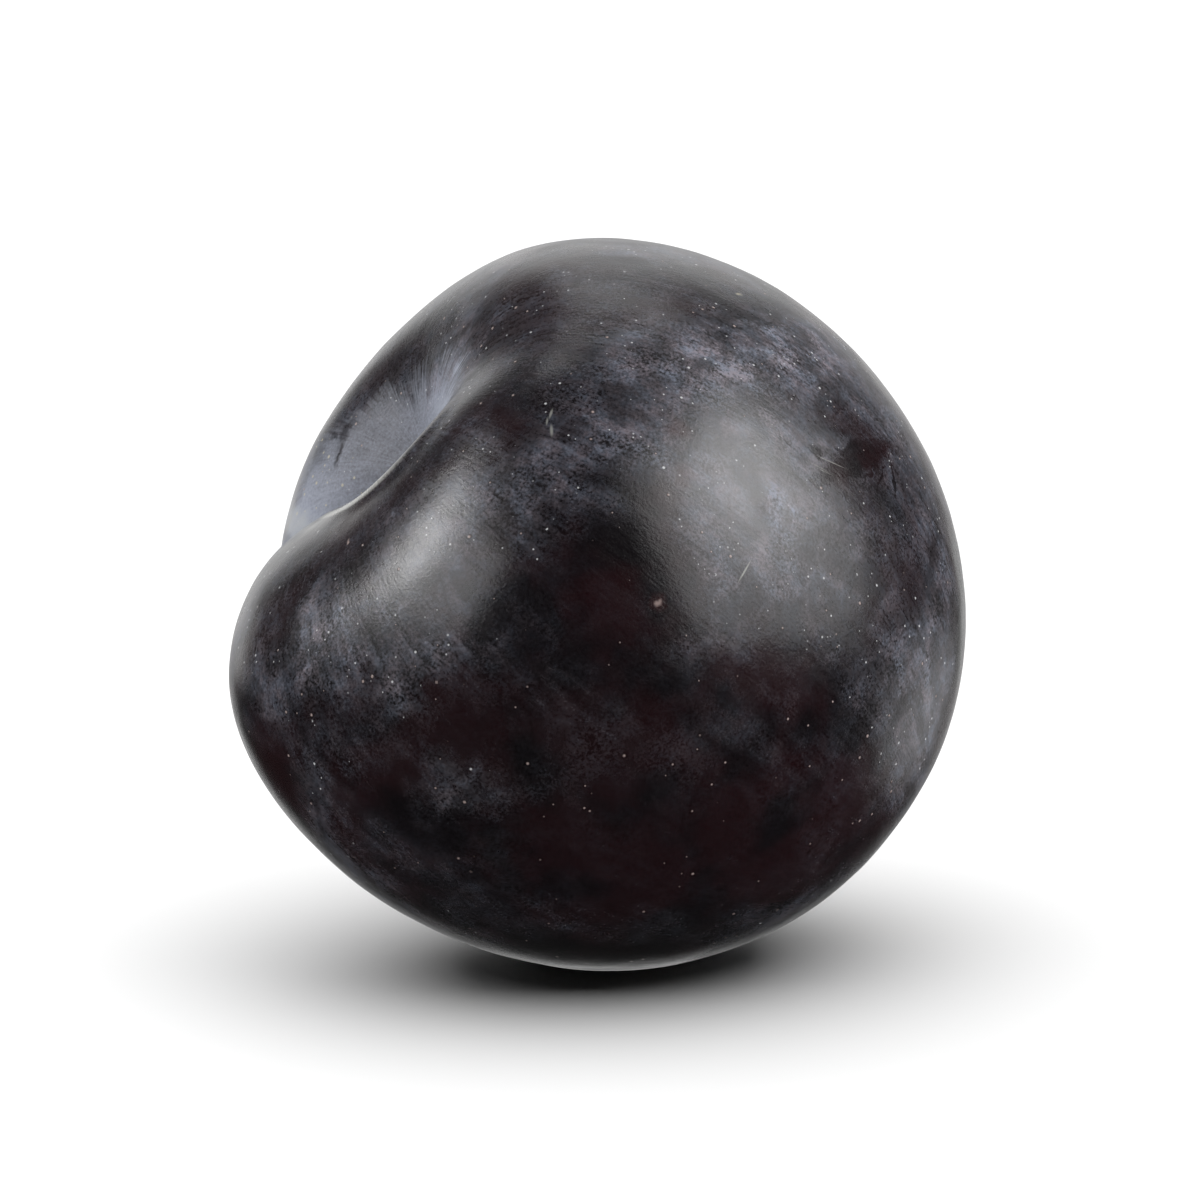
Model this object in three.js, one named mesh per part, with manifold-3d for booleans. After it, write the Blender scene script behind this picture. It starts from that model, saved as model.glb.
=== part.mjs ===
// A black dessert plum, as picked and laid on a table. Millimetres, +Z up.
//
// The fruit grew as one piece, so it is one solid. Its skin is a height over a sphere: every
// point is given by its polar angle, 0 at the stem end and 180 degrees at the blossom end, and
// its longitude, 0 along the suture. A rounded body comes first; the shoulders, the stem
// cavity, the suture, the valley opposite and the fuller cheek then raise or lower it by a few
// millimetres. The fruit is turned to the side it lies on and pared to a small flat there.
// The origin is on the table, under the middle of the fruit's box.

import * as THREE from 'three';
import { mergeVertices } from 'three/addons/utils/BufferGeometryUtils.js';
import Module from 'manifold-3d';

const degrees = THREE.MathUtils.degToRad;

// Body: radius at the waist, and half heights above and below it.
const WAIST_RADIUS = 30.35;
const SHOULDER_HEIGHT = 29.65;
const BLOSSOM_HEIGHT = 32.75;
const HEIGHT_BLEND = 3;
const SUTURE_FLATTENING = 0.083; // share by which the waist is narrower across the suture
const LEAN = 0.074; // share by which one cheek stands higher than the other

// Shoulders: a ring round the stem cavity, highest along the suture, lower on the full cheek.
const SHOULDER = { polar: degrees(34.4), width: degrees(22.9), crest: 0.7, slope: 1.55 };

// Stem cavity: a funnel, with the narrow socket that the stem was pulled from.
const CAVITY = { depth: 10.3, width: degrees(26.1), steepness: 1.6 };
const SOCKET = { depth: 1.6, width: degrees(7) };

// Suture: a crease in a shallow valley, from the stem cavity to the blossom end. Both are
// deeper where they cut the shoulder.
const CREASE = { depth: 0.33, notch: 2.17, halfWidth: 2.1 };
const VALLEY = { depth: 0.33, notch: 2, halfWidth: 5.7 };
const NOTCH = { polar: degrees(24.1), width: degrees(18.9) };

// The shallow valley on the far side of the stem cavity, opposite the suture.
const BACK_VALLEY = { depth: 1.7, polar: degrees(25.8), width: degrees(22.9), halfWidth: 4.8 };

// Blossom end: a dimple round the scar.
const DIMPLE = { depth: 0.95, width: degrees(11.5) };

// The fuller cheek beside the suture.
const CHEEK = {
  height: 2.3,
  polar: degrees(49.3),
  longitude: degrees(58.1),
  width: degrees(20.6),
};

// What changes with longitude fades out over these polar angles at the ends.
const SHOULDER_FADE = degrees(12);
const GROOVE_FADE = degrees(8);
const BLOSSOM_FADE = degrees(11.5);

// How the fruit lies: the stem end's tilt from upright, its heading about the vertical, and
// the roll about its own axis, which takes the suture round.
const STEM_TILT = degrees(49.3);
const STEM_HEADING = degrees(193);
const SUTURE_ROLL = degrees(-39.5);
const FLAT_DEPTH = 0.6; // how much of the underside is flat

// Facets: meridians crowd towards the suture, and parallels towards the stem cavity.
const MERIDIANS = 72;
const PARALLELS = 50;
const SUTURE_CROWDING = 0.45;
const STEM_CROWDING = 0.35;

const SKIN = { color: 0x231c29, roughness: 0.3, metalness: 0 };

// 1 in the middle of a bump, falling smoothly to 0 over its width.
function bell(offset, width) {
  return Math.exp(-((offset / width) ** 2));
}

// Share of a feature that remains this far from one end of the fruit.
function clearOfEnd(distance, fade) {
  return 1 - Math.exp(-((distance / fade) ** 3));
}

// Angle between two directions on the fruit, from their polar angles and longitudes.
function angleBetween(polar, longitude, otherPolar, otherLongitude) {
  const first = new THREE.Vector3().setFromSphericalCoords(1, polar, longitude);
  const second = new THREE.Vector3().setFromSphericalCoords(1, otherPolar, otherLongitude);
  return first.angleTo(second);
}

// The plain rounded body: half an ellipsoid above the waist blending into a taller half below.
function bodyRadius(polar, longitude) {
  const rise = Math.cos(polar);
  const girth = Math.sin(polar);
  const upper = 0.5 + 0.5 * Math.tanh(HEIGHT_BLEND * rise);
  const halfHeight = THREE.MathUtils.lerp(BLOSSOM_HEIGHT, SHOULDER_HEIGHT, upper);
  const radius = 1 / Math.hypot(girth / WAIST_RADIUS, rise / halfHeight);
  const flattening = SUTURE_FLATTENING * Math.cos(2 * longitude) * girth ** 2;
  const lean = LEAN * Math.sin(longitude) * girth * rise;
  return radius * (1 - flattening + lean);
}

// Rise of the ring of shoulders.
function shoulderRise(polar, longitude) {
  const ring = bell(polar - SHOULDER.polar, SHOULDER.width);
  return ring * (SHOULDER.crest * Math.cos(2 * longitude) - SHOULDER.slope * Math.sin(longitude));
}

// Depth of the suture's crease and valley, and of the valley opposite.
function grooveDepth(polar, longitude) {
  const ahead = Math.cos(longitude);
  const offset = WAIST_RADIUS * Math.sin(polar) * Math.sin(longitude);
  const sutureSide = THREE.MathUtils.smoothstep(ahead, -0.6, 0.9);
  const backSide = THREE.MathUtils.smoothstep(-ahead, -0.6, 0.9);
  const notch = bell(polar - NOTCH.polar, NOTCH.width);
  const crease = (CREASE.depth + CREASE.notch * notch) / (1 + (offset / CREASE.halfWidth) ** 2);
  const valley = (VALLEY.depth + VALLEY.notch * notch)
    * bell(offset, Math.SQRT2 * VALLEY.halfWidth);
  const back = BACK_VALLEY.depth
    * bell(polar - BACK_VALLEY.polar, BACK_VALLEY.width)
    * bell(offset, Math.SQRT2 * BACK_VALLEY.halfWidth);
  return sutureSide * (crease + valley) + backSide * back;
}

// Distance of the skin from the middle of the fruit.
function skinRadius(polar, longitude) {
  const cavity = CAVITY.depth * Math.exp(-((polar / CAVITY.width) ** CAVITY.steepness));
  const socket = SOCKET.depth * bell(polar, SOCKET.width);
  const dimple = DIMPLE.depth * bell(Math.PI - polar, DIMPLE.width);
  const fromCheek = angleBetween(polar, longitude, CHEEK.polar, CHEEK.longitude);
  const cheek = CHEEK.height * bell(fromCheek, CHEEK.width);
  const shoulder = clearOfEnd(polar, SHOULDER_FADE) * shoulderRise(polar, longitude);
  const groove = clearOfEnd(polar, GROOVE_FADE)
    * clearOfEnd(Math.PI - polar, BLOSSOM_FADE)
    * grooveDepth(polar, longitude);
  const hollows = cavity + socket + dimple + groove;
  return bodyRadius(polar, longitude) + shoulder + cheek - hollows;
}

// The closed skin, its axis upright and its middle at the origin, from a unit sphere whose
// grid is crowded and whose points are moved out to the skin.
function skinGeometry() {
  const geometry = new THREE.SphereGeometry(1, MERIDIANS, PARALLELS);
  const grid = geometry.getAttribute('uv');
  const position = geometry.getAttribute('position');
  const point = new THREE.Vector3();
  for (let i = 0; i < position.count; i += 1) {
    const around = 2 * Math.PI * grid.getX(i);
    const down = Math.PI * (1 - grid.getY(i));
    const longitude = around - SUTURE_CROWDING * Math.sin(around);
    const polar = down - STEM_CROWDING * Math.sin(down);
    const radius = skinRadius(polar, longitude);
    const girth = radius * Math.sin(polar);
    point.set(girth * Math.cos(longitude), girth * Math.sin(longitude), radius * Math.cos(polar));
    position.setXYZ(i, point.x, point.y, point.z);
  }
  geometry.deleteAttribute('normal');
  geometry.deleteAttribute('uv');
  return mergeVertices(geometry, 1e-4);
}

// Turns the upright fruit to the way it lies, with the flat's plane at height 0.
function layDown(geometry) {
  geometry.rotateZ(SUTURE_ROLL).rotateY(STEM_TILT).rotateZ(STEM_HEADING);
  geometry.computeBoundingBox();
  geometry.translate(0, 0, -geometry.boundingBox.min.z - FLAT_DEPTH);
  return geometry;
}

// A block that fills all the space under the table's surface.
function blockBelow() {
  const size = 4 * WAIST_RADIUS;
  const block = new THREE.BoxGeometry(size, size, size);
  block.translate(0, 0, -size / 2);
  block.deleteAttribute('normal');
  block.deleteAttribute('uv');
  return mergeVertices(block);
}

const wasm = await Module();
wasm.setup();

function toSolid(geometry) {
  return new wasm.Manifold(new wasm.Mesh({
    numProp: 3,
    vertProperties: new Float32Array(geometry.getAttribute('position').array),
    triVerts: new Uint32Array(geometry.getIndex().array),
  }));
}

function toGeometry(solid) {
  const mesh = solid.getMesh();
  const geometry = new THREE.BufferGeometry();
  geometry.setAttribute('position', new THREE.BufferAttribute(mesh.vertProperties, 3));
  geometry.setIndex(new THREE.BufferAttribute(mesh.triVerts, 1));
  geometry.computeVertexNormals();
  return geometry;
}

// The whole fruit, with the underside pared flat and the origin under the middle of its box.
function makePlum() {
  const lying = toSolid(layDown(skinGeometry()));
  const geometry = toGeometry(lying.subtract(toSolid(blockBelow())));
  geometry.computeBoundingBox();
  const middle = geometry.boundingBox.getCenter(new THREE.Vector3());
  const plum = new THREE.Mesh(geometry, new THREE.MeshStandardMaterial(SKIN));
  plum.name = 'plum';
  plum.position.set(-middle.x, -middle.y, 0);
  return plum;
}

const fruit = new THREE.Group();
fruit.add(makePlum());

export default fruit;
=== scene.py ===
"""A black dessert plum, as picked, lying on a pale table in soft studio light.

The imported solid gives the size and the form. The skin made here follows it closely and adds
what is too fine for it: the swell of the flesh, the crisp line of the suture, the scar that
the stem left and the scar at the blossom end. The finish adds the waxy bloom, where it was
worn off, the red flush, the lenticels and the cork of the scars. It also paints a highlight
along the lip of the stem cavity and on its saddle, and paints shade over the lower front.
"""

import logging
import math
from collections.abc import Callable, Mapping, Sequence
from dataclasses import dataclass, field
from enum import Enum

import bpy
from mathutils import Matrix, Vector


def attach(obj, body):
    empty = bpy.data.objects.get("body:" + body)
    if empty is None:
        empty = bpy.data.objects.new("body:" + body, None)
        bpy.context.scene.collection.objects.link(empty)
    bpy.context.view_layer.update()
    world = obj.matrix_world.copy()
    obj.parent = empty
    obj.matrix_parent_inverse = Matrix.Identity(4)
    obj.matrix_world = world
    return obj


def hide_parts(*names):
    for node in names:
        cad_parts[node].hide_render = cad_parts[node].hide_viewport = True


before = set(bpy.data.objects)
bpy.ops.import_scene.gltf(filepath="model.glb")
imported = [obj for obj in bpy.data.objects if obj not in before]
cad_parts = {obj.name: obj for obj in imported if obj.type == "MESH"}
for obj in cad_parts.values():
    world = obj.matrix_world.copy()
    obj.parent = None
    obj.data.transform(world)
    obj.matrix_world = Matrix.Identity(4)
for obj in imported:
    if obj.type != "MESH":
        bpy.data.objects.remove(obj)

MM = 0.001
STEM_END = Vector((0, 0, 1))
BLOSSOM_END = Vector((0, 0, -1))
FAR_OUT = 9.0  # well outside a scar, as a share of its radius

log = logging.getLogger("plum")


# ---------------------------------------------------------------- modelling helpers


def only(*objects: bpy.types.Object) -> None:
    """Selects these objects alone, with the first of them active.

    Args:
        objects: the objects.
    """
    bpy.ops.object.select_all(action="DESELECT")
    for each in objects:
        each.select_set(True)
    bpy.context.view_layer.objects.active = objects[0]


def modify(piece: bpy.types.Object, kind: str, **settings: object) -> None:
    """Adds one modifier to a piece and applies it.

    Args:
        piece: the object to change.
        kind: the modifier's type, such as "SUBSURF".
        settings: the modifier's properties.
    """
    only(piece)
    bpy.ops.object.modifier_add(type=kind)
    modifier = piece.modifiers[-1]
    for name, value in settings.items():
        setattr(modifier, name, value)
    bpy.ops.object.modifier_apply(modifier=modifier.name)


def select_faces(piece: bpy.types.Object, wanted: Callable[[Vector], bool]) -> None:
    """Enters edit mode with only the faces selected whose middle is wanted.

    Args:
        piece: the mesh object.
        wanted: says of a face's middle, in the object's own axes, whether it is selected.
    """
    only(piece)
    bpy.ops.object.mode_set(mode="EDIT")
    bpy.ops.mesh.select_mode(type="FACE")
    bpy.ops.mesh.select_all(action="DESELECT")
    bpy.ops.object.mode_set(mode="OBJECT")
    for polygon in piece.data.polygons:
        polygon.select = wanted(polygon.center)
    bpy.ops.object.mode_set(mode="EDIT")


def bell(offset: float, width: float) -> float:
    """1 in the middle, falling smoothly to 0 over the width."""
    return math.exp(-((offset / width) ** 2))


def step(value: float, low: float, high: float) -> float:
    """0 below low, 1 above high, and smooth between; low may be the greater."""
    share = min(max((value - low) / (high - low), 0.0), 1.0)
    return share * share * (3 - 2 * share)


# ---------------------------------------------------------------- shader helpers


@dataclass(frozen=True)
class Signal:
    """A shader value that Python's arithmetic works on: an expression adds its Math nodes."""

    sheet: "Sheet"
    socket: bpy.types.NodeSocket

    def _math(self, operation: str, *values: "Signal | float") -> "Signal":
        """The result of one Math node on these values."""
        return self.sheet.add("ShaderNodeMath", {"operation": operation}, dict(enumerate(values)))

    def __add__(self, other: "Signal | float") -> "Signal":
        """self + other."""
        return self._math("ADD", self, other)

    def __radd__(self, other: float) -> "Signal":
        """other + self."""
        return self._math("ADD", other, self)

    def __sub__(self, other: "Signal | float") -> "Signal":
        """self - other."""
        return self._math("SUBTRACT", self, other)

    def __rsub__(self, other: float) -> "Signal":
        """other - self."""
        return self._math("SUBTRACT", other, self)

    def __mul__(self, other: "Signal | float") -> "Signal":
        """self * other."""
        return self._math("MULTIPLY", self, other)

    def __rmul__(self, other: float) -> "Signal":
        """other * self."""
        return self._math("MULTIPLY", other, self)

    def __truediv__(self, other: "Signal | float") -> "Signal":
        """self / other."""
        return self._math("DIVIDE", self, other)

    def __rtruediv__(self, other: float) -> "Signal":
        """other / self."""
        return self._math("DIVIDE", other, self)

    def __pow__(self, other: "Signal | float") -> "Signal":
        """self to the power of other."""
        return self._math("POWER", self, other)

    def most(self, other: "Signal | float") -> "Signal":
        """The greater of the two."""
        return self._math("MAXIMUM", self, other)

    def angle_from(self, along: "Signal") -> "Signal":
        """The angle whose tangent is self over along, in radians."""
        return self._math("ARCTAN2", self, along)

    def ramp(self, low: float, high: float) -> "Signal":
        """0 below low, 1 above high, and smooth between; low may be the greater."""
        return self.sheet.add(
            "ShaderNodeMapRange",
            {"interpolation_type": "SMOOTHSTEP"},
            {"Value": self, "From Min": low, "From Max": high},
        )


Input = Signal | float | Sequence[float]


class Sheet:
    """The node tree of one finish, and the few patterns that finishes are made of."""

    def __init__(self, tree: bpy.types.NodeTree) -> None:
        """Keeps the tree, which starts empty."""
        self.tree = tree
        tree.nodes.clear()

    def node(
        self,
        kind: str,
        settings: Mapping[str, object] | None = None,
        sockets: Mapping[str | int, Input] | None = None,
    ) -> bpy.types.Node:
        """Adds one node.

        Args:
            kind: the node's type.
            settings: its properties, which are set before its sockets.
            sockets: the value or link of each socket, by name or number.

        Returns:
            The node.
        """
        made = self.tree.nodes.new(kind)
        for name, value in (settings or {}).items():
            setattr(made, name, value)
        for name, value in (sockets or {}).items():
            if isinstance(value, Signal):
                self.tree.links.new(value.socket, made.inputs[name])
            else:
                made.inputs[name].default_value = value
        return made

    def add(
        self,
        kind: str,
        settings: Mapping[str, object] | None = None,
        sockets: Mapping[str | int, Input] | None = None,
        output: str | int = 0,
    ) -> Signal:
        """Adds one node as node() does, and returns the signal of one of its outputs."""
        return Signal(self, self.node(kind, settings, sockets).outputs[output])

    def vector(self, operation: str, *values: Input, output: str = "Vector") -> Signal:
        """The result of one Vector Math node on these values."""
        settings = {"operation": operation}
        return self.add("ShaderNodeVectorMath", settings, dict(enumerate(values)), output)

    def split(self, vector: Signal) -> tuple[Signal, Signal, Signal]:
        """The three components of a vector."""
        parts = self.node("ShaderNodeSeparateXYZ", sockets={"Vector": vector})
        return tuple(Signal(self, output) for output in parts.outputs)

    def join(self, x: Input, y: Input, z: Input) -> Signal:
        """A vector from its components."""
        return self.add("ShaderNodeCombineXYZ", sockets={"X": x, "Y": y, "Z": z})

    def mix(self, share: Signal | float, first: Input, second: Input) -> Signal:
        """The first colour where the share is 0 and the second where it is 1."""
        sockets = {"Factor": share, 6: first, 7: second}
        return self.add("ShaderNodeMix", {"data_type": "RGBA"}, sockets, 2)

    def noise(
        self, at: Signal, size: float, detail: float = 2.0, rough: float = 0.5, warp: float = 0.0
    ) -> Signal:
        """Soft noise about 0.5.

        Args:
            at: where it is read.
            size: the width of its largest forms, in the unit of at.
            detail: how many finer layers it has.
            rough: how strong the finer layers are.
            warp: how much it is distorted.

        Returns:
            The noise, mostly from 0.25 to 0.75.
        """
        sockets = {
            "Vector": at, "Scale": 1 / size, "Detail": detail, "Roughness": rough, "Distortion": warp
        }
        return self.add("ShaderNodeTexNoise", sockets=sockets)

    def stray(self, place: Signal, at: Signal, size: float, reach: float) -> Signal:
        """A point that strays, which gives what is drawn by it an uneven outline.

        Args:
            place: the point.
            at: where the noise that moves it is read.
            size: the width of the noise's largest forms, in the unit of at.
            reach: how far the point may go, in its own unit.

        Returns:
            The point after it has strayed.
        """
        sockets = {"Vector": at, "Scale": 1 / size, "Detail": 3}
        drift = self.add("ShaderNodeTexNoise", sockets=sockets, output="Color")
        drift = self.vector("SUBTRACT", drift, (0.5, 0.5, 0.5))
        return self.vector("MULTIPLY_ADD", drift, (reach, reach, reach), place)

    def specks(self, at: Signal, cell: float, radius: float, share: Signal | float) -> Signal:
        """Round specks of many sizes, scattered through space.

        Args:
            at: where they are read.
            cell: their mean distance, in the unit of at.
            radius: the radius of the largest.
            share: how many of the cells hold one, from 0 to 1.

        Returns:
            1 on a speck, falling softly to 0 round it.
        """
        sockets = {"Vector": at, "Scale": 1 / cell}
        cells = self.node("ShaderNodeTexVoronoi", sockets=sockets)
        distance = Signal(self, cells.outputs["Distance"])
        pick, grade, _ = self.split(Signal(self, cells.outputs["Color"]))
        reach = radius / cell * (0.4 + 0.6 * grade * grade)
        return (distance / reach).ramp(1.0, 0.4) * (share - pick).ramp(0.0, 0.05)


# ---------------------------------------------------------------- the fruit


@dataclass(frozen=True)
class Lie:
    """How the fruit lies: its middle in millimetres, and the turn of its own axes.

    Its own Z points to the stem end and its own X to the suture.
    """

    middle: tuple[float, float, float] = (-0.96, -0.09, 29.85)
    stem_tilt: float = math.radians(49.3)
    stem_heading: float = math.radians(193)
    suture_roll: float = math.radians(-39.5)

    @property
    def place(self) -> Vector:
        """The middle in metres."""
        return Vector(self.middle) * MM

    @property
    def turn(self) -> Matrix:
        """The rotation from the fruit's own axes to the table's.

        Returns:
            The rotation.
        """
        heading = Matrix.Rotation(self.stem_heading, 3, "Z")
        tilt = Matrix.Rotation(self.stem_tilt, 3, "Y")
        roll = Matrix.Rotation(self.suture_roll, 3, "Z")
        return heading @ tilt @ roll

    def height(self, point: Vector) -> float:
        """Height over the table, in millimetres, of a point in the fruit's own axes."""
        return (self.turn @ point + self.place).z / MM


@dataclass(frozen=True)
class Lip:
    """The narrow lip of the stem cavity on the full cheek, in the fruit's own axes.

    The rise is in millimetres; the crest is a share of the distance from the middle.
    """

    crest: float = 0.40
    swing: float = 0.04
    swing_heading: float = math.radians(137)
    heading: float = math.radians(115)
    arc: float = math.radians(62)
    rise: float = 0.38
    width: float = math.radians(2.3)

    def polar(self, around: float) -> float:
        """How far from the stem end the crest is, at this longitude; both in radians."""
        return math.asin(self.crest + self.swing * math.cos(2 * (around - self.swing_heading)))

    def line(self, x: Signal, y: Signal, z: Signal) -> Signal:
        """The crest as a thin line, which the finish paints pale as a painted highlight.

        Args:
            x: how far the point is from the axis towards the suture.
            y: how far it is across the suture.
            z: how far it is from the waist towards the stem end.

        Returns:
            1 on the crest, falling softly to 0 beside it and towards both its ends.
        """
        girth_squared = x * x + y * y
        reach = (girth_squared + z * z) ** 0.5
        even = self.swing * math.cos(2 * self.swing_heading) * (x * x - y * y)
        odd = self.swing * math.sin(2 * self.swing_heading) * 2 * x * y
        crest = self.crest + (even + odd) / girth_squared
        past_crest = girth_squared ** 0.5 / reach - crest
        ahead, across = x / reach, y / reach
        shown = across.ramp(0.03, 0.2) * ahead.ramp(0.36, 0.16) * ahead.ramp(-0.35, -0.06)
        shown = shown * z.ramp(0.0, 5.0)
        return (past_crest * past_crest).ramp(0.0005, 0.0) * shown


@dataclass
class Plum:
    """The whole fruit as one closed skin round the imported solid. Sizes are in millimetres."""

    lie: Lie = field(default_factory=Lie)
    blank_width: float = 90.0
    faces_along: int = 112
    suture_band: float = math.radians(5)
    stem_patch: float = math.radians(9.5)
    blossom_patch: float = math.radians(5.5)
    swell: float = 0.12
    swell_width: float = 7.0
    ripple: float = 0.035
    ripple_width: float = 2.2
    lip: Lip = field(default_factory=Lip)
    crease_depth: float = 0.16
    crease_width: float = 0.42
    crease_ends: tuple[float, float] = (math.radians(5), math.radians(22))
    stem_scar: float = 1.55
    plate_depth: float = 0.3
    rim_rise: float = 0.14
    boss_rise: float = 0.16
    pith_depth: float = 0.2
    blossom_scar: float = 0.85
    moat_depth: float = 0.1
    cork_rise: float = 0.16
    pit_depth: float = 0.24
    foot_height: float = 0.25

    def build(self) -> bpy.types.Object:
        """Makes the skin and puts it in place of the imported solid.

        Returns:
            The finished piece.
        """
        guide = self._guide()
        skin = self._blank()
        self._draw_in(skin, guide)
        self._refine(skin)
        self._even_out(skin, guide)
        self._swell(skin)
        self._raise_lip(skin)
        self._crease(skin)
        self._scar_stem(skin)
        self._scar_blossom(skin)
        self._close(skin)
        bpy.data.objects.remove(guide)
        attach(skin, "root")
        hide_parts("plum")
        return skin

    def _guide(self) -> bpy.types.Object:
        """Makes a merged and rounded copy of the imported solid, for the skin to lie on.

        Returns:
            The copy.
        """
        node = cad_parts["plum"]
        guide = node.copy()
        guide.data = node.data.copy()
        guide.name = "guide"
        guide.parent = None
        bpy.context.scene.collection.objects.link(guide)
        only(guide)
        bpy.ops.object.mode_set(mode="EDIT")
        bpy.ops.mesh.select_all(action="SELECT")
        bpy.ops.mesh.remove_doubles(threshold=1e-6)
        bpy.ops.mesh.tris_convert_to_quads()
        bpy.ops.object.mode_set(mode="OBJECT")
        modify(guide, "SUBSURF", levels=2, render_levels=2)
        return guide

    def _blank(self) -> bpy.types.Object:
        """Makes a ball of even squares round the fruit, in line with its own axes.

        Returns:
            The ball.
        """
        bpy.ops.object.select_all(action="DESELECT")
        bpy.ops.mesh.primitive_cube_add(
            size=self.blank_width * MM,
            location=self.lie.place,
            rotation=self.lie.turn.to_euler(),
        )
        ball = bpy.context.active_object
        ball.name = ball.data.name = "plum_skin"
        bpy.ops.object.mode_set(mode="EDIT")
        bpy.ops.mesh.subdivide(number_cuts=self.faces_along - 1)
        bpy.ops.object.mode_set(mode="OBJECT")
        modify(ball, "CAST", cast_type="SPHERE", factor=1.0, size=self.blank_width / 2 * MM)
        return ball

    def _draw_in(self, ball: bpy.types.Object, guide: bpy.types.Object) -> None:
        """Draws the ball straight in until it lies on the guide."""
        modify(
            ball,
            "SHRINKWRAP",
            target=guide,
            wrap_method="PROJECT",
            use_negative_direction=True,
            use_positive_direction=False,
        )

    def _refine(self, skin: bpy.types.Object) -> None:
        """Makes the squares finer where the suture and the two scars will be.

        Args:
            skin: the piece.
        """
        side = math.sin(self.suture_band)
        select_faces(
            skin,
            lambda at: abs(at.normalized().y) < side
            and at.x > 0
            and at.angle(STEM_END) > self.stem_patch
            and at.angle(BLOSSOM_END) > self.blossom_patch,
        )
        bpy.ops.mesh.subdivide(number_cuts=1)
        bpy.ops.object.mode_set(mode="OBJECT")
        for end, reach in ((STEM_END, self.stem_patch), (BLOSSOM_END, self.blossom_patch)):
            select_faces(skin, lambda at: at.angle(end) < reach)
            bpy.ops.mesh.subdivide(number_cuts=2)
            bpy.ops.object.mode_set(mode="OBJECT")

    def _even_out(self, skin: bpy.types.Object, guide: bpy.types.Object) -> None:
        """Evens out the skin, keeping it on the guide.

        Args:
            skin: the piece.
            guide: the rounded copy of the solid.
        """
        modify(skin, "SMOOTH", factor=0.5, iterations=3)
        modify(skin, "SHRINKWRAP", target=guide, wrap_method="NEAREST_SURFACEPOINT")
        modify(skin, "SMOOTH", factor=0.5, iterations=2)

    def _press(
        self,
        skin: bpy.types.Object,
        name: str,
        depth: float,
        share: Callable[[Vector], float],
        texture: bpy.types.Texture | None = None,
    ) -> None:
        """Presses the skin in, by a weight painted over it.

        Args:
            skin: the piece.
            name: what is pressed, which names the vertex group.
            depth: how far it goes in where the share is 1, or out if negative.
            share: the share at a point, in the fruit's own axes and in millimetres.
            texture: where given, its grey grades the depth.
        """
        group = skin.vertex_groups.new(name=name)
        for vertex in skin.data.vertices:
            weight = share(vertex.co / MM)
            if weight > 0.002:
                group.add([vertex.index], weight, "REPLACE")
        modify(
            skin,
            "DISPLACE",
            strength=-depth * MM,
            mid_level=0.0,
            vertex_group=name,
            texture=texture,
        )

    def _off_table(self, point: Vector) -> float:
        """0 on the flat that the fruit lies on, and 1 clear of it."""
        return step(self.lie.height(point * MM), self.foot_height, 4 * self.foot_height)

    def _swell(self, skin: bpy.types.Object) -> None:
        """Gives the skin the slow swell and the slight ripple of flesh beneath it.

        Args:
            skin: the piece.
        """
        for name, depth, width in (
            ("swell", self.swell, self.swell_width),
            ("ripple", self.ripple, self.ripple_width),
        ):
            clouds = bpy.data.textures.new(name, "CLOUDS")
            clouds.noise_scale = width * MM
            clouds.noise_depth = 1
            self._press(skin, name, depth, self._off_table, clouds)

    def _raise_lip(self, skin: bpy.types.Object) -> None:
        """Draws the lip of the stem cavity on the full cheek up to a narrow crest."""
        self._press(skin, "lip", -self.lip.rise, self._lip_share)

    def _lip_share(self, at: Vector) -> float:
        """Works out where the lip stands.

        Args:
            at: a point of the skin.

        Returns:
            The share of the lip's rise that the point gets.
        """
        around = math.atan2(at.y, at.x)
        past_crest = at.angle(STEM_END) - self.lip.polar(around)
        return bell(past_crest, self.lip.width) * bell(around - self.lip.heading, self.lip.arc)

    def _crease(self, skin: bpy.types.Object) -> None:
        """Cuts the crisp line along the bottom of the suture."""
        self._press(skin, "crease", self.crease_depth, self._crease_share)

    def _crease_share(self, at: Vector) -> float:
        """Works out where the line of the suture is.

        Args:
            at: a point of the skin.

        Returns:
            The share of the line's depth that the point gets.
        """
        from_end = min(at.angle(STEM_END), at.angle(BLOSSOM_END))
        open_end = step(from_end, *self.crease_ends)
        ahead = step(at.x, 0, 6)
        return ahead * open_end * bell(at.y, self.crease_width) * self._off_table(at)

    def _scar_stem(self, skin: bpy.types.Object) -> None:
        """Shapes the round scar at the bottom of the stem cavity: a plate, its rim and a pit.

        Args:
            skin: the piece.
        """
        out = self._out_of_stem_scar
        self._press(skin, "scar_plate", self.plate_depth, lambda at: step(out(at), 1.12, 0.9))
        self._press(skin, "scar_rim", -self.rim_rise, lambda at: bell(out(at) - 1.12, 0.17))
        self._press(skin, "scar_boss", -self.boss_rise, lambda at: bell(out(at), 0.5))
        self._press(skin, "scar_pith", self.pith_depth, lambda at: bell(out(at), 0.2))

    def _out_of_stem_scar(self, at: Vector) -> float:
        """Works out how far a point is from the middle of the stem's scar.

        Args:
            at: a point of the skin.

        Returns:
            The distance, where 1 is the scar's uneven border.
        """
        around = math.atan2(at.y, at.x)
        uneven = 1 + 0.07 * math.sin(3 * around + 1) + 0.04 * math.sin(7 * around)
        return math.hypot(at.x, at.y) / (self.stem_scar * uneven) if at.z > 0 else FAR_OUT

    def _scar_blossom(self, skin: bpy.types.Object) -> None:
        """Shapes the small corky scar at the blossom end, with the pit of the style in it.

        Args:
            skin: the piece.
        """
        out = self._out_of_blossom_scar
        self._press(skin, "blossom_moat", self.moat_depth, lambda at: bell(out(at) - 1.5, 0.4))
        self._press(skin, "blossom_cork", -self.cork_rise, lambda at: step(out(at), 1.15, 0.75))
        self._press(skin, "blossom_pit", self.pit_depth, lambda at: bell(out(at), 0.36))

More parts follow.
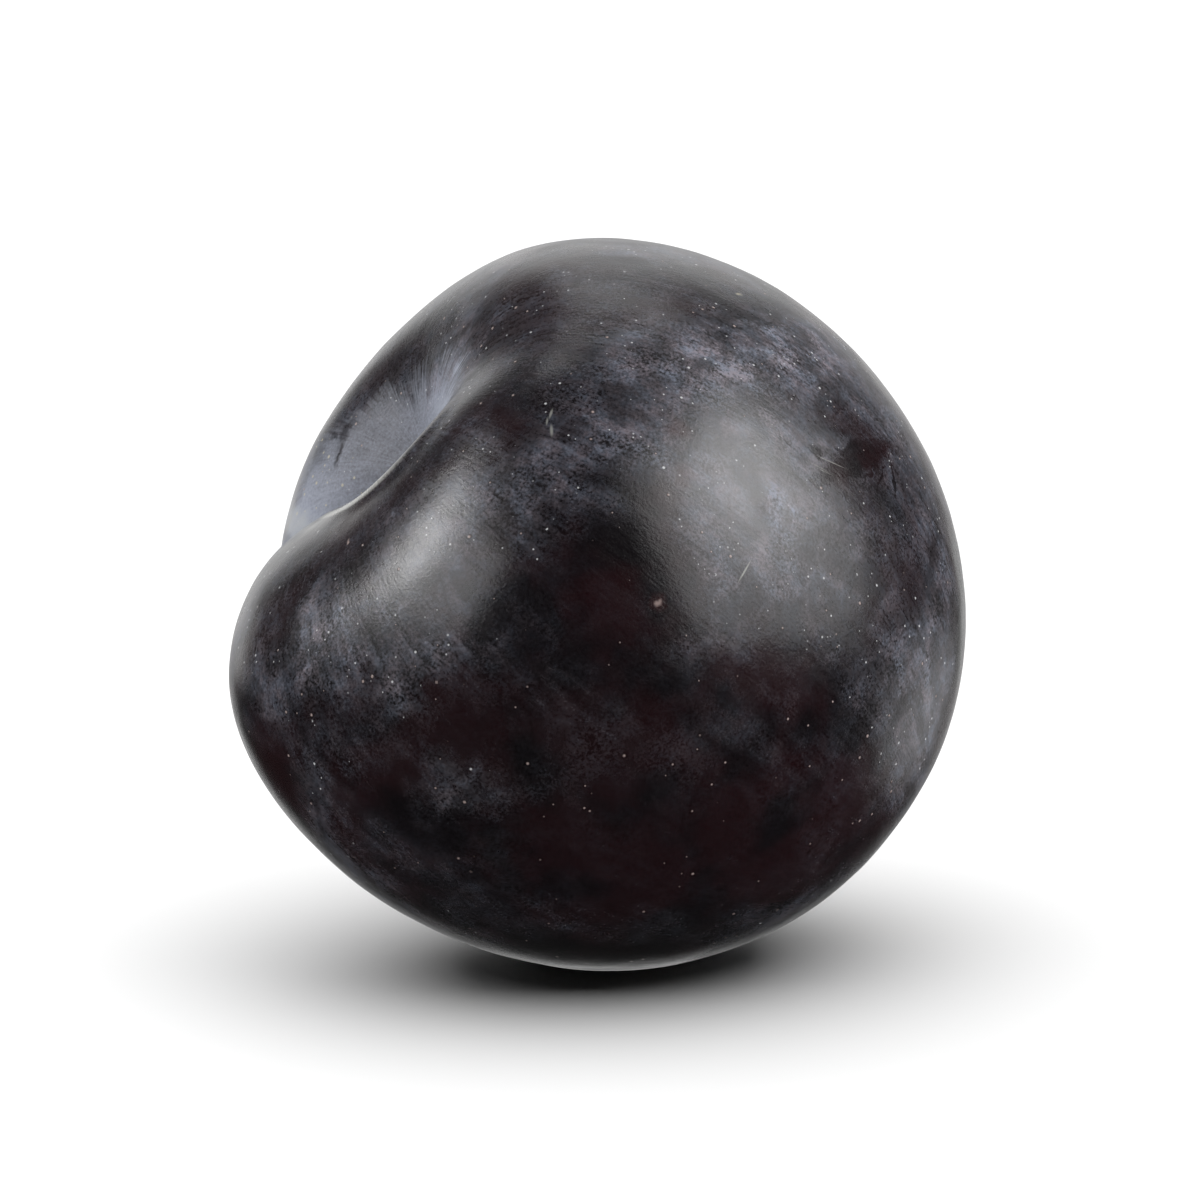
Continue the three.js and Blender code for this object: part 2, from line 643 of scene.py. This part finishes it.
    def _out_of_blossom_scar(self, at: Vector) -> float:
        """Works out how far a point is from the middle of the blossom end's scar.

        Args:
            at: a point of the skin.

        Returns:
            The distance, where 1 is the scar's uneven border.
        """
        around = math.atan2(at.y, at.x)
        uneven = 1 + 0.12 * math.sin(2 * around) + 0.07 * math.sin(5 * around + 2)
        return math.hypot(at.x, at.y) / (self.blossom_scar * uneven) if at.z < 0 else FAR_OUT

    def _close(self, skin: bpy.types.Object) -> None:
        """Leaves one clean closed mesh with its place in it, smooth and facing out.

        Args:
            skin: the piece.
        """
        skin.vertex_groups.clear()
        only(skin)
        bpy.ops.object.mode_set(mode="EDIT")
        bpy.ops.mesh.select_all(action="SELECT")
        bpy.ops.mesh.remove_doubles(threshold=1e-6)
        bpy.ops.mesh.normals_make_consistent(inside=False)
        bpy.ops.object.mode_set(mode="OBJECT")
        bpy.ops.object.transform_apply(location=True, rotation=True, scale=True)
        bpy.ops.object.shade_smooth()


# ---------------------------------------------------------------- the fruit's finish


@dataclass(frozen=True)
class SkinColours:
    """The colours of the skin and of what lies on it, as linear red, green and blue."""

    skin: tuple[float, ...] = (0.0030, 0.0019, 0.0027, 1)
    flush: tuple[float, ...] = (0.0098, 0.0024, 0.0034, 1)
    bloom: tuple[float, ...] = (0.148, 0.165, 0.212, 1)
    warm_bloom: tuple[float, ...] = (0.186, 0.161, 0.186, 1)
    thick_bloom: tuple[float, ...] = (0.29, 0.31, 0.37, 1)
    # pale wax, which also serves as a painted highlight on the saddle, on the near lip and along the
    # lip's crest
    pale_wax_and_painted_highlight: tuple[float, ...] = (0.46, 0.46, 0.43, 1)
    granule: tuple[float, ...] = (0.60, 0.61, 0.62, 1)
    lenticel: tuple[float, ...] = (0.30, 0.235, 0.22, 1)
    fibre: tuple[float, ...] = (0.34, 0.34, 0.31, 1)
    blush: tuple[float, ...] = (0.045, 0.014, 0.014, 1)
    straw: tuple[float, ...] = (0.46, 0.42, 0.31, 1)
    cork: tuple[float, ...] = (0.16, 0.085, 0.04, 1)


class Mark(Enum):
    """What a patch of the skin shows, named as its colour is."""

    BLOOM = "bloom"
    # pale wax that is partly a painted highlight
    WAX = "pale_wax_and_painted_highlight"
    LENTICEL = "lenticel"
    FIBRE = "fibre"
    BLUSH = "blush"
    STRAW = "straw"


@dataclass(frozen=True)
class Daub:
    """One soft patch of the skin, placed by its direction from the fruit's middle.

    Angles are in degrees, with azimuth 0 at the front and 90 on the right; sizes are in
    millimetres, and the turn tips the patch's top to the right. The cover is how strongly it
    shows, the reach is the distance of the skin there from the middle, and the softness is how
    gradual the border is.
    """

    azimuth: float
    elevation: float
    width: float
    height: float
    turn: float = 0.0
    cover: float = 1.0
    mark: Mark = Mark.BLOOM
    reach: float = 29.6
    softness: float = 0.6

    def inside(self, sheet: Sheet, lie: Lie, place: Signal) -> Signal:
        """How far in the patch a point is.

        Args:
            sheet: the node tree.
            lie: how the fruit lies.
            place: the point, in metres.

        Returns:
            1 in the middle of the patch, falling softly to 0 at its border.
        """
        turn = (
            Matrix.Rotation(math.radians(self.azimuth), 3, "Z")
            @ Matrix.Rotation(math.radians(-self.elevation), 3, "X")
            @ Matrix.Rotation(math.radians(self.turn), 3, "Y")
        )
        settings = {"vector_type": "TEXTURE"}
        sockets = {
            "Vector": place,
            "Location": lie.place - turn.col[1] * self.reach * MM,
            "Rotation": turn.to_euler(),
            "Scale": (self.width * MM, max(self.width, 4) * MM, self.height * MM),
        }
        local = sheet.add("ShaderNodeMapping", settings, sockets)
        distance = sheet.vector("LENGTH", local, output="Value")
        return distance.ramp(1 + self.softness, 1 - self.softness)


@dataclass(frozen=True)
class Ground:
    """Where a point of the skin is, and the patterns that the finish is drawn with there.

    The place is in the piece's own metres; the rest is in the fruit's axes, in millimetres.
    """

    place: Signal
    own: Signal
    x: Signal
    y: Signal
    z: Signal
    girth: Signal
    reach: Signal
    streak: Signal
    strand: Signal
    mottle: Signal
    dust: Signal


@dataclass(frozen=True)
class Patterns:
    """How large each pattern of the finish is: its largest forms, its gap or its reach.

    Sizes are in millimetres. The streaks and strands run from end to end of the fruit: their
    number is by the radian, and their length is in degrees.
    """

    streaks: float = 45.0
    streak_length: float = 8.0
    strands: float = 95.0
    strand_length: float = 5.0
    cover: float = 12.0
    wander: float = 3.3
    wander_reach: float = 8.0
    ruffle: float = 1.1
    scrape_reach: float = 1.6
    mark_reach: float = 1.3
    mottle: float = 3.0
    dust: float = 0.25
    flush: float = 8.0
    wear: float = 4.5
    combing: float = 14.0
    grain: float = 5.0
    tint: float = 1.8
    dusting: float = 2.4
    granule_gap: float = 0.6
    granule_radius: float = 0.16
    crumb_gap: float = 0.8
    crumb_radius: float = 0.26
    dot_gap: float = 1.25
    dot_radius: float = 0.19
    cork: float = 0.5


@dataclass(frozen=True)
class Relief:
    """How far each pattern stands out of the skin, in millimetres."""

    strand: float = 0.008
    dust: float = 0.016
    mottle: float = 0.03
    dot: float = 0.018


@dataclass(frozen=True)
class Gloss:
    """The roughness of the bare skin, and what each thing on it adds."""

    bare: float = 0.1
    bloom: float = 0.35
    streak: float = 0.13
    dust: float = 0.12
    bowl: float = 0.3


@dataclass(frozen=True)
class PlumSkin:
    """The finish of the fruit: dark skin under a waxy bloom. Sizes are in millimetres."""

    lie: Lie = field(default_factory=Lie)
    colours: SkinColours = field(default_factory=SkinColours)
    name: str = "black plum skin"
    bloomed: tuple[Daub, ...] = (
        Daub(10, 50, 7, 4, 0, 0.36),
        Daub(32, 46, 4, 3, 0, 0.42),
        Daub(50, 56, 11, 4, 20, 0.36),
        Daub(82, 48, 6, 5, 30, 0.54),
        Daub(72, 56, 3.4, 1.0, 15, 0.85),
        Daub(40, 52, 2.4, 0.7, -10, 0.84),
        Daub(30, 54, 3.5, 1.2, -25, 0.55),
        Daub(60, 51, 2.8, 0.8, 35, 0.80),
        Daub(84, 30, 4, 7, 20, 0.26),
        Daub(68, -12, 6, 8, 5, 0.50),
        Daub(-43, 1, 3, 4, -20, 0.46, reach=31),
        Daub(-26, -4, 3.5, 3.5, 0, 0.64, reach=32),
        Daub(8, 36, 5, 3, 20, 0.34),
        Daub(-6, 26, 5, 6, 0, 0.27),
        Daub(34, 26, 8, 11, 0, 0.28),
        Daub(-27, 22, 8, 7, 35, 0.26),
    )
    # patches where the bloom is worn off, and one over the lower front that is painted shade
    rubbed_and_painted_shade: tuple[Daub, ...] = (
        Daub(-108, 36, 7, 9, 0, 0.14),
        Daub(-96, 58, 9, 6, 0, 0.14),
        Daub(2, 10, 4.6, 9, 5, 0.0),
        Daub(-9, 6, 4.5, 6, 20, 0.04),
        Daub(9, 2, 4, 6, -20, 0.02),
        # painted shade: the lower front is left nearly bare, which darkens it
        Daub(15, -30, 24, 12, 0, 0.02),
        Daub(-16, -9, 10, 5, 0, 0.03),
        Daub(-20, -18, 4.5, 3.0, 0, 0.18),
        Daub(-41, 12, 3.4, 2.6, 30, 0.10),
        Daub(-43, 27, 3.6, 13, 42, 0.07),
        Daub(-12, 50, 6, 4, 20, 0.10),
        Daub(-25, 68, 8, 5, 0, 0.18),
        Daub(40, 72, 12, 5, 0, 0.12),
        Daub(66, 12, 6, 8, 0, 0.14),
        Daub(-72, 56, 3, 4, 0, 0.6, reach=23),
        Daub(37, 24, 0.8, 2.4, 30, 0.6),
    )
    marked: tuple[Daub, ...] = (
        Daub(11, 10, 0.24, 0.24, 0, 0.9, Mark.LENTICEL),
        Daub(-47, 17, 0.18, 0.18, 0, 1.0, Mark.LENTICEL, 28),
        Daub(26.5, 14, 0.07, 0.9, 42, 0.55, Mark.FIBRE),
        Daub(-8, 41.8, 0.10, 0.45, 8, 0.45, Mark.FIBRE),
        Daub(-8.6, 40.2, 0.08, 0.35, 0, 0.4, Mark.FIBRE),
        Daub(-7.4, 38.4, 0.12, 0.5, -8, 0.45, Mark.FIBRE),
        Daub(51, 29.6, 0.05, 0.9, -56, 0.22, Mark.FIBRE, 27.9),
        Daub(52, 28.6, 0.05, 0.7, -58, 0.22, Mark.FIBRE, 27.9),
        Daub(80, 64, 0.35, 0.22, 20, 0.5, Mark.STRAW),
        # the saddle and the near lip: pale wax that is partly a painted highlight of the pale room
        Daub(-103, 11.5, 3.6, 1.0, 0, 0.5, Mark.WAX, 25.7, 0.9),
        Daub(-76, 17, 4.0, 0.9, -14, 0.42, Mark.WAX, 25.0, 0.9),
        Daub(54, 30.5, 0.05, 1.2, -60, 0.22, Mark.FIBRE, 27.9),
        Daub(56, 29.5, 0.05, 1.3, -60, 0.22, Mark.FIBRE, 27.9),
        Daub(19, 39, 1.1, 0.8, 0, 0.35, Mark.BLUSH),
        Daub(18, 30, 0.8, 1.0, 0, 0.30, Mark.BLUSH),
        Daub(11, 10, 0.7, 0.7, 0, 0.30, Mark.BLUSH),
    )
    scraped: tuple[Daub, ...] = (
        Daub(-105, 31.5, 0.45, 1.3, -15, 0.65, reach=24),
        Daub(-102.5, 28, 0.3, 1.0, -45, 0.80, reach=24),
        Daub(-107, 29, 0.45, 0.3, 0, 0.65, reach=24),
        Daub(63, 28.7, 7.0, 1.1, -3, 0.95, reach=28.1, softness=0.4),
        Daub(65, 30.5, 3.4, 0.8, 3, 0.90, reach=28.1, softness=0.4),
        Daub(70, 29.4, 3.6, 0.35, 8, 0.90, reach=28.3, softness=0.3),
        Daub(52, 32.1, 0.55, 0.7, 0, 0.90, reach=27.8, softness=0.3),
        Daub(69, 24.6, 2.0, 0.16, -30, 0.9, reach=28.3, softness=0.3),
        Daub(73, 23.2, 1.9, 0.2, -50, 0.9, reach=28.6, softness=0.3),
        Daub(67, 26.4, 2.2, 0.16, -18, 0.9, reach=28.3, softness=0.3),
    )
    bowl_middle: float = 0.19
    bowl_length: float = 0.5
    bowl_width: float = 0.29
    scar_radius: float = 2.1
    lip: Lip = field(default_factory=Lip)
    patterns: Patterns = field(default_factory=Patterns)
    relief: Relief = field(default_factory=Relief)
    gloss: Gloss = field(default_factory=Gloss)

    def dress(self, piece: bpy.types.Object) -> None:
        """Makes the material and gives it to the piece.

        Args:
            piece: the fruit.
        """
        material = bpy.data.materials.new(self.name)
        material.use_nodes = True
        self._paint(Sheet(material.node_tree))
        piece.data.materials.clear()
        piece.data.materials.append(material)

    def _paint(self, sheet: Sheet) -> None:
        """Wires the patterns to the shader.

        Args:
            sheet: the node tree.
        """
        relief, gloss = self.relief, self.gloss
        ground = self._ground(sheet)
        bared = self._bared(sheet, ground)
        cover = self._cover(sheet, ground) * (1 - bared)
        bowl = self._bowl(ground) * (1 - bared)
        dots = sheet.specks(ground.own, self.patterns.dot_gap, self.patterns.dot_radius, 0.5)
        base = self._film(sheet, ground, cover)
        base = self._bowl_wax(sheet, ground, bowl, base)
        base = self._specks(sheet, ground, cover, base)
        base = sheet.mix(dots * 0.9, base, self.colours.lenticel)
        base = self._marks(sheet, ground, base)
        base = self._scars(sheet, ground, base)
        height = (
            relief.strand * ground.strand
            + relief.dust * ground.dust
            + relief.mottle * ground.mottle
            + relief.dot * dots
        )
        bump = {"Strength": 1.0, "Distance": MM, "Height": height}
        roughness = (
            gloss.bloom * cover
            + gloss.streak * ground.streak
            + gloss.dust * ground.dust
            + gloss.bowl * bowl
            + gloss.bare
        )
        shader = sheet.add(
            "ShaderNodeBsdfPrincipled",
            sockets={
                "Base Color": base,
                "Roughness": roughness,
                "IOR": 1.45,
                "Normal": sheet.add("ShaderNodeBump", sockets=bump),
            },
        )
        sheet.node("ShaderNodeOutputMaterial", sockets={"Surface": shader})

    def _ground(self, sheet: Sheet) -> Ground:
        """Works out where each point is and the patterns that are used throughout.

        Args:
            sheet: the node tree.

        Returns:
            The place and the patterns.
        """
        place = sheet.add("ShaderNodeTexCoord", output="Object")
        sockets = {
            "Vector": place,
            "Location": self.lie.place,
            "Rotation": self.lie.turn.to_euler(),
            "Scale": (MM, MM, MM),
        }
        own = sheet.add("ShaderNodeMapping", {"vector_type": "TEXTURE"}, sockets)
        x, y, z = sheet.split(own)
        girth = (x * x + y * y) ** 0.5
        polar = girth.angle_from(z) * math.degrees(1)
        ahead, across = x / girth, y / girth
        sizes = self.patterns
        streaked = sheet.join(
            ahead * sizes.streaks, across * sizes.streaks, polar / sizes.streak_length
        )
        stranded = sheet.join(
            ahead * sizes.strands, across * sizes.strands, polar / sizes.strand_length
        )
        return Ground(
            place=place,
            own=own,
            x=x,
            y=y,
            z=z,
            girth=girth,
            reach=(girth * girth + z * z) ** 0.5,
            streak=sheet.noise(streaked, 1, 4, 0.6),
            strand=sheet.noise(stranded, 1),
            mottle=sheet.noise(own, sizes.mottle, 5, 0.6, 0.25),
            dust=sheet.noise(own, sizes.dust, 3, 0.6),
        )

    def _bared(self, sheet: Sheet, ground: Ground) -> Signal:
        """Draws where something has scraped the bloom off.

        Args:
            sheet: the node tree.
            ground: the patterns.

        Returns:
            1 where no bloom is left.
        """
        patterns = self.patterns
        ruffled = sheet.stray(
            ground.place, ground.own, patterns.ruffle, patterns.scrape_reach * MM
        )
        shares = [daub.inside(sheet, self.lie, ruffled) * daub.cover for daub in self.scraped]
        bared = shares[0]
        for share in shares[1:]:
            bared = bared.most(share)
        return bared

    def _along(self, ground: Ground) -> Signal:
        """How far from the bowl's middle towards the suture; 1 is the end of the bowl."""
        return (ground.x / ground.reach - self.bowl_middle) / self.bowl_length

    def _bowl(self, ground: Ground) -> Signal:
        """Draws the pale bowl of the stem cavity, whose edge is combed.

        Args:
            ground: the patterns.

        Returns:
            1 in the bowl, falling unevenly to 0 at its edge.
        """
        along = self._along(ground)
        across = ground.y / ground.reach / self.bowl_width
        combed = 0.9 - 0.65 * along.ramp(0.2, 0.7)
        ragged = (ground.mottle - 0.5) * 0.7 + (ground.streak - 0.5) * combed
        from_middle = (along * along + across * across) ** 0.5
        return (from_middle + ragged).ramp(1.24, 0.72) * ground.z.ramp(0.0, 5.0)

    def _film(self, sheet: Sheet, ground: Ground, cover: Signal) -> Signal:
        """The dark skin, redder where bare, under its film of bloom.

        Args:
            sheet: the node tree.
            ground: the patterns.
            cover: how much of the skin the bloom covers.

        Returns:
            The colour.
        """
        own, colours, patterns = ground.own, self.colours, self.patterns
        flush = sheet.noise(own, patterns.flush, 3).ramp(0.40, 0.60) * cover.ramp(0.30, 0.04)
        base = sheet.mix(flush, colours.skin, colours.flush)
        worn = sheet.noise(own, patterns.wear, 4, 0.6, 0.8).ramp(0.40, 0.60) * 0.7 + 0.45
        combed = sheet.noise(own, patterns.combing, 1).ramp(0.42, 0.6) * 2.2 + 1.0
        grainy = sheet.noise(own, patterns.grain, 2).ramp(0.38, 0.6) * 2.6 + 3.3
        uneven = (
            (ground.mottle - 0.5) * 3.0
            + (ground.streak - 0.5) * combed
            + (ground.dust - 0.5) * grainy
        )
        halo = sheet.specks(own, patterns.dot_gap, 2 * patterns.dot_radius, 0.5)
        film = (cover * worn * (1 + uneven)).most(0.0) * (1 - halo * 0.6)
        tint = sheet.noise(own, patterns.tint, 5, 0.8).ramp(0.36, 0.64)
        return sheet.mix(film, base, sheet.mix(tint, colours.bloom, colours.warm_bloom))

    def _bowl_wax(self, sheet: Sheet, ground: Ground, bowl: Signal, base: Signal) -> Signal:
        """Lays the thick bloom in the stem cavity, paler towards both ends of its length, and its
        crumbs, and paints a pale line along the lip's crest as a painted highlight.

        Args:
            sheet: the node tree.
            ground: the patterns.
            bowl: how far in the bowl a point is.
            base: the colour beneath.

        Returns:
            The colour with the wax and the painted highlight on it.
        """
        along = self._along(ground)
        # the wax is painted paler towards both ends of the bowl's length
        paler_to_ends = along * along * along.ramp(1.25, 0.8) * 1.15
        uneven = (ground.mottle + ground.streak - 1) * 0.5 + (ground.dust - 0.5) * 0.7
        base = sheet.mix((0.42 + uneven + paler_to_ends) * bowl, base, self.colours.thick_bloom)
        gap, radius = self.patterns.crumb_gap, self.patterns.crumb_radius
        crumbs = sheet.specks(ground.own, gap, radius, bowl * along.ramp(0.1, 0.5))
        base = sheet.mix(crumbs * 0.8, base, self.colours.straw)
        # a painted highlight: a thin pale line along the lip's crest, where it catches the pale room
        lip = self.lip.line(ground.x, ground.y, ground.z)
        return sheet.mix(lip * (ground.streak * 0.8 + 0.22), base, self.colours.pale_wax_and_painted_highlight)

    def _specks(self, sheet: Sheet, ground: Ground, cover: Signal, base: Signal) -> Signal:
        """Scatters granules of wax where the bloom is left.

        Args:
            sheet: the node tree.
            ground: the patterns.
            cover: how much of the skin the bloom covers.
            base: the colour beneath.

        Returns:
            The colour with the granules on it.
        """
        dusted = sheet.noise(ground.own, self.patterns.dusting, 3, 0.6).ramp(0.42, 0.62)
        share = dusted * cover.ramp(0.04, 0.2) * 0.8
        gap, radius = self.patterns.granule_gap, self.patterns.granule_radius
        granules = sheet.specks(ground.own, gap, radius, share)
        return sheet.mix(granules * 0.7, base, self.colours.granule)

    def _marks(self, sheet: Sheet, ground: Ground, base: Signal) -> Signal:
        """Draws the single marks; all but the fibres get an uneven outline.

        Args:
            sheet: the node tree.
            ground: the patterns.
            base: the colour beneath.

        Returns:
            The colour with the marks on it.
        """
        patterns = self.patterns
        ruffled = sheet.stray(ground.place, ground.own, patterns.ruffle, patterns.mark_reach * MM)
        for daub in self.marked:
            at = ground.place if daub.mark is Mark.FIBRE else ruffled
            share = daub.inside(sheet, self.lie, at) * daub.cover
            # the pale wax patches, partly painted highlight, are broken up by the streaks and the
            # mottle
            if daub.mark is Mark.WAX:
                share = share * (ground.streak + ground.mottle - 0.2)
            base = sheet.mix(share, base, getattr(self.colours, daub.mark.value))
        return base

    def _scars(self, sheet: Sheet, ground: Ground, base: Signal) -> Signal:
        """Lays the cork of the scars at both ends, darker round its rim.

        Args:
            sheet: the node tree.
            ground: the patterns.
            base: the colour beneath.

        Returns:
            The colour with the scars on it.
        """
        out = (ground.girth + ground.mottle) / self.scar_radius
        grain = sheet.noise(ground.own, self.patterns.cork, 4, 0.7).ramp(0.35, 0.65)
        cork = sheet.mix(grain * out.ramp(1.2, 0.75), self.colours.cork, self.colours.straw)
        return sheet.mix(out.ramp(1.33, 1.14), base, cork)

    def _cover(self, sheet: Sheet, ground: Ground) -> Signal:
        """Draws how much of the skin the bloom covers.

        Args:
            sheet: the node tree.
            ground: the patterns.

        Returns:
            0 where the bloom is worn off the skin, to 1; nearly 0 over the lower front, as painted
            shade.
        """
        patterns = self.patterns
        cover = sheet.noise(ground.own, patterns.cover, 2, 0.5, 0.5).ramp(0.32, 0.68) * 0.30
        wander = sheet.stray(
            ground.place, ground.own, patterns.wander, patterns.wander_reach * MM
        )
        # the lower front is held nearly bare as painted shade
        for daub in self.bloomed + self.rubbed_and_painted_shade:
            cover = cover + (daub.cover - cover) * daub.inside(sheet, self.lie, wander)
        return cover


# ---------------------------------------------------------------- the studio


@dataclass(frozen=True)
class Softbox:
    """One large soft lamp.

    Angles are in degrees round the fruit, with 0 towards the camera; sizes are in metres and the
    power is in watts. The roll turns the lamp about the line to the fruit.
    """

    name: str
    azimuth: float
    elevation: float
    distance: float
    width: float
    height: float
    power: float
    roll: float = 0.0

    def hang(self, aim: Vector) -> bpy.types.Object:
        """Adds the lamp, facing the fruit.

        Args:
            aim: the point that the lamp faces, in metres.

        Returns:
            The lamp.
        """
        across = math.radians(self.azimuth)
        up = math.radians(self.elevation)
        away = Vector(
            (math.sin(across) * math.cos(up), -math.cos(across) * math.cos(up), math.sin(up))
        )
        data = bpy.data.lights.new(self.name, "AREA")
        data.shape = "RECTANGLE"
        data.size, data.size_y, data.energy = self.width, self.height, self.power
        lamp = bpy.data.objects.new(self.name, data)
        bpy.context.scene.collection.objects.link(lamp)
        lamp.location = aim + away * self.distance
        roll = Matrix.Rotation(math.radians(self.roll), 3, "Z")
        lamp.rotation_euler = (away.to_track_quat("Z", "Y").to_matrix() @ roll).to_euler()
        lamp.visible_camera = False
        return lamp


@dataclass(frozen=True)
class Glow:
    """A pale part of the room, oval and soft at its edge, as seen from the fruit.

    Angles are in degrees; the side is 0 straight behind the fruit and grows to the right.
    """

    side: float
    elevation: float
    half_width: float
    half_height: float
    strength: float

    def light(self, side: Signal, elevation: Signal) -> Signal:
        """Works out its light in a direction.

        Args:
            side: the direction's side angle, in degrees.
            elevation: its angle over the table, in degrees.

        Returns:
            The strength of the light.
        """
        across = (side - self.side) / self.half_width
        up = (elevation - self.elevation) / self.half_height
        return ((across * across + up * up) ** 0.5).ramp(1.3, 0.7) * self.strength


@dataclass
class Studio:
    """The pale table, the lamps, the pale room behind and the camera. Sizes are in metres."""

    aim: Vector = field(default_factory=lambda: Vector((0, 0, 0.0296)))
    camera_elevation: float = math.radians(11)
    camera_distance: float = 0.8
    lens: float = 290.0
    table_width: float = 8.0
    table_colour: tuple[float, ...] = (0.8, 0.8, 0.8, 1)
    lamps: tuple[Softbox, ...] = (
        Softbox("left softbox", -64, 33, 0.9, 0.76, 0.43, 3.4, -9),
        Softbox("left softbox's hot middle", -91, 35, 0.9, 0.27, 0.27, 3.6),
        Softbox("right softbox", 78, 32, 0.9, 0.98, 0.97, 8.5, -8),
        Softbox("right softbox's hot middle", 85, 38, 0.9, 0.45, 0.5, 3.9),
        Softbox("top softbox", 178, 58, 1.0, 0.62, 0.2, 0.95),
    )
    table_lamp: Softbox = Softbox("table lamp", 180, 86, 1.2, 3.0, 3.0, 62)
    room_glows: tuple[Glow, ...] = (
        Glow(-2, 10, 28, 38, 0.85),
        Glow(0, 26, 20, 20, 0.35),
        Glow(50, -17, 17, 9, 1.2),
        Glow(-36, -2, 12, 7, 1.1),
        Glow(-18, 5, 12, 10, 0.4),
    )
    room_dimmest: float = 0.03

    def build(self) -> None:
        """Sets everything up round the fruit."""
        self._camera()
        table = self._table()
        self._room()
        for lamp in self.lamps:
            lit = lamp.hang(self.aim).light_linking
            lit.receiver_collection = self._all_but(table)
        lit = self.table_lamp.hang(self.aim).light_linking
        lit.receiver_collection = bpy.data.collections.new("table only")
        lit.receiver_collection.objects.link(table)
        view = bpy.context.scene.view_settings
        view.view_transform = "Standard"

    def _all_but(self, table: bpy.types.Object) -> bpy.types.Collection:
        """Makes a light group of everything but the table, as flags keep a lamp off it.

        Args:
            table: the table top.

        Returns:
            The group.
        """
        group = bpy.data.collections.new("flagged from table")
        group.objects.link(table)
        group.collection_objects[0].light_linking.link_state = "EXCLUDE"
        return group

    def _camera(self) -> None:
        """Sets up the camera, in front of the fruit and a little above it."""
        up = self.camera_elevation
        back = Vector((0, -math.cos(up), math.sin(up)))
        data = bpy.data.cameras.new("camera")
        data.lens = self.lens
        camera = bpy.data.objects.new("camera", data)
        bpy.context.scene.collection.objects.link(camera)
        camera.location = self.aim + back * self.camera_distance
        camera.rotation_euler = back.to_track_quat("Z", "Y").to_euler()
        bpy.context.scene.camera = camera

    def _table(self) -> bpy.types.Object:
        """Lays the pale table top, which reaches past every view.

        Returns:
            The table top.
        """
        bpy.ops.object.select_all(action="DESELECT")
        bpy.ops.mesh.primitive_plane_add(size=self.table_width)
        table = bpy.context.active_object
        table.name = "table"
        table.visible_glossy = False
        material = bpy.data.materials.new("pale table")
        material.use_nodes = True
        sheet = Sheet(material.node_tree)
        sockets = {"Base Color": self.table_colour, "Roughness": 0.9, "Specular IOR Level": 0.1}
        shader = sheet.add("ShaderNodeBsdfPrincipled", sockets=sockets)
        sheet.node("ShaderNodeOutputMaterial", sockets={"Surface": shader})
        table.data.materials.append(material)
        return table

    def _room(self) -> None:
        """Lights the room: a pale wall behind, and dark in front and overhead."""
        world = bpy.data.worlds.new("room")
        world.use_nodes = True
        bpy.context.scene.world = world
        sheet = Sheet(world.node_tree)
        toward = sheet.add("ShaderNodeTexCoord", output="Generated")
        x, y, z = sheet.split(toward)
        side = x.angle_from(y) * math.degrees(1)
        elevation = z.angle_from((x * x + y * y) ** 0.5) * math.degrees(1)
        glow = self.room_dimmest
        for each in self.room_glows:
            glow = each.light(side, elevation) + glow
        seen = sheet.add("ShaderNodeLightPath", output="Is Camera Ray")
        strength = glow * (1 - seen) + seen
        shader = sheet.add(
            "ShaderNodeBackground", sockets={"Color": (1, 1, 1, 1), "Strength": strength}
        )
        sheet.node("ShaderNodeOutputWorld", sockets={"Surface": shader})


def main() -> None:
    """Builds the studio and the fruit, dresses it and logs its face count."""
    logging.basicConfig(level=logging.INFO, format="%(name)s: %(message)s")
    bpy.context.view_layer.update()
    Studio().build()
    log.info("studio ready")
    skin = Plum().build()
    PlumSkin().dress(skin)
    log.info("%s: %d faces", skin.name, len(skin.data.polygons))


if __name__ == "__main__":
    main()
